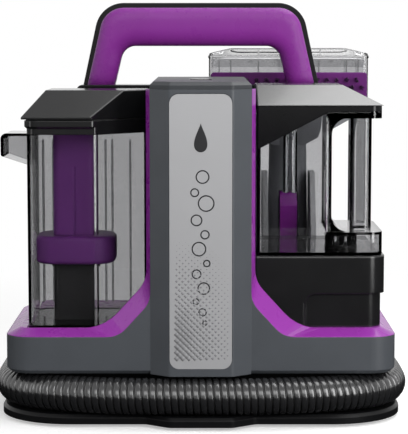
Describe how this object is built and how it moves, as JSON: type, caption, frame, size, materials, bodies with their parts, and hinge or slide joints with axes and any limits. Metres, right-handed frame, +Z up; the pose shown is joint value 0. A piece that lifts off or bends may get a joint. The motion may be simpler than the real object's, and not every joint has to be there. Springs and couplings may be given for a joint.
{
  "type": "portable spot carpet cleaner",
  "caption": "Portable spot carpet cleaner with lift-off clean and dirty water tanks under hinged lids, a carry handle, a hose wound round its waist and a docked hand tool.",
  "frame": {"origin": "on the floor under the middle of the base plate", "axes": "+Z up, -Y to the front with the label, +X to the right as seen from the front"},
  "size_m": [0.3604, 0.26, 0.3576],
  "materials": {
    "base_black": "fine texture",
    "foot_rubber": "matt",
    "screw_steel": "plain",
    "hose_black": "satin",
    "shell_grey": "fine texture",
    "purple_gloss": "gloss",
    "black_gloss": "gloss",
    "label_silver": "satin with printed dots",
    "tank_smoke": "clear, smoky",
    "nozzle_clear": "clear",
    "inner_grey": "matt",
    "seal_rubber": "matt",
    "motor_metal": "satin",
    "pump_metal": "cast",
    "board_green": "coated"
  },
  "bodies": {
    "machine_body": {"base_plate": "base_black", "rubber_feet": "foot_rubber", "base_screws": "screw_steel", "hose_drum": "base_black", "hose_port": "base_black", "hose": "hose_black", "hose_cuff_port": "hose_black", "hose_cuff_tool": "hose_black", "front_shell": "shell_grey", "rear_shell": "shell_grey", "column_cap": "shell_grey", "label_plate": "label_silver", "cord_gland": "base_black", "trim_left": "purple_gloss", "trim_right": "purple_gloss", "power_switch": "inner_grey", "carry_handle": "purple_gloss", "handle_back": "black_gloss", "shoulder_left": "black_gloss", "shoulder_right": "black_gloss", "handle_screws": "screw_steel", "pump_housing": "black_gloss", "water_pump": "pump_metal", "pump_tube": "nozzle_clear", "suction_duct": "inner_grey", "air_duct": "inner_grey", "motor_frame": "inner_grey", "fan_housing": "inner_grey", "motor_can": "motor_metal", "circuit_board": "board_green", "exhaust_housing": "black_gloss", "exhaust_grille": "base_black", "tool_body": "base_black", "tool_nozzle": "nozzle_clear", "tool_brush": "purple_gloss", "trigger_pin": "screw_steel", "trigger_spring": "screw_steel", "tool_dock": "base_black"},
    "dirty_tank_body": {"dirty_tank": "tank_smoke", "dirty_tank_collar": "black_gloss", "dirty_tank_gasket": "seal_rubber", "dirty_lid_pin": "screw_steel", "suction_stack": "inner_grey", "stack_cover": "purple_gloss"},
    "dirty_lid_body": {"dirty_tank_lid": "black_gloss"},
    "float_body": {"tank_float": "purple_gloss"},
    "clean_tank_body": {"clean_tank": "tank_smoke", "clean_tank_collar": "black_gloss", "pickup_tube": "nozzle_clear", "clean_lid_pin": "screw_steel", "valve_body": "inner_grey", "valve_spring": "screw_steel", "valve_seal": "seal_rubber"},
    "clean_lid_body": {"clean_tank_lid": "black_gloss"},
    "valve_body_moving": {"valve_plunger": "inner_grey"},
    "trigger_body": {"tool_trigger": "purple_gloss"},
    "button_body": {"power_button": "black_gloss"},
    "fan_rotor": {"fan_impeller": "inner_grey", "motor_shaft": "screw_steel"},
    "piston_body": {"pump_piston": "screw_steel"}
  },
  "joints": [
    {"name": "dirty_tank_lift", "type": "slide", "parent": "machine_body", "child": "dirty_tank_body", "axis": [0, 0, 1], "range_m": [0, 0.18]},
    {"name": "dirty_lid_hinge", "type": "hinge", "parent": "dirty_tank_body", "child": "dirty_lid_body", "pos_m": [-0.097, 0.0105, 0.259], "axis": [-1, 0, 0], "range_deg": [0, 52]},
    {"name": "float_rise", "type": "slide", "parent": "dirty_tank_body", "child": "float_body", "axis": [0, 0, 1], "range_m": [0, 0.06]},
    {"name": "clean_tank_lift", "type": "slide", "parent": "machine_body", "child": "clean_tank_body", "axis": [0, 0, 1], "range_m": [0, 0.15]},
    {"name": "clean_lid_hinge", "type": "hinge", "parent": "clean_tank_body", "child": "clean_lid_body", "pos_m": [0.0999, 0.0105, 0.2716], "axis": [-1, 0, 0], "range_deg": [0, 65]},
    {"name": "valve_lift", "type": "slide", "parent": "clean_tank_body", "child": "valve_body_moving", "axis": [0, 0, 1], "range_m": [0, 0.002], "stiffness_N_per_m": 300, "springref_m": -0.002, "deforming": ["valve_spring"]},
    {"name": "trigger_pull", "type": "hinge", "parent": "machine_body", "child": "trigger_body", "pos_m": [0.0825, 0.098, 0.178], "axis": [1, 0, 0], "range_deg": [0, 8], "stiffness_Nm_per_rad": 0.6, "springref_deg": -5.73, "deforming": ["trigger_spring"]},
    {"name": "power_press", "type": "slide", "parent": "machine_body", "child": "button_body", "axis": [0, 0, -1], "range_m": [0, 0.0025], "stiffness_N_per_m": 600, "springref_m": -0.001},
    {"name": "fan_spin", "type": "hinge", "parent": "machine_body", "child": "fan_rotor", "pos_m": [0, -0.029, 0.103], "axis": [0, 0, 1], "continuous": true},
    {"name": "piston_stroke", "type": "slide", "parent": "machine_body", "child": "piston_body", "axis": [0, 1, 0], "range_m": [-0.002, 0.002], "stiffness_N_per_m": 900}
  ]
}
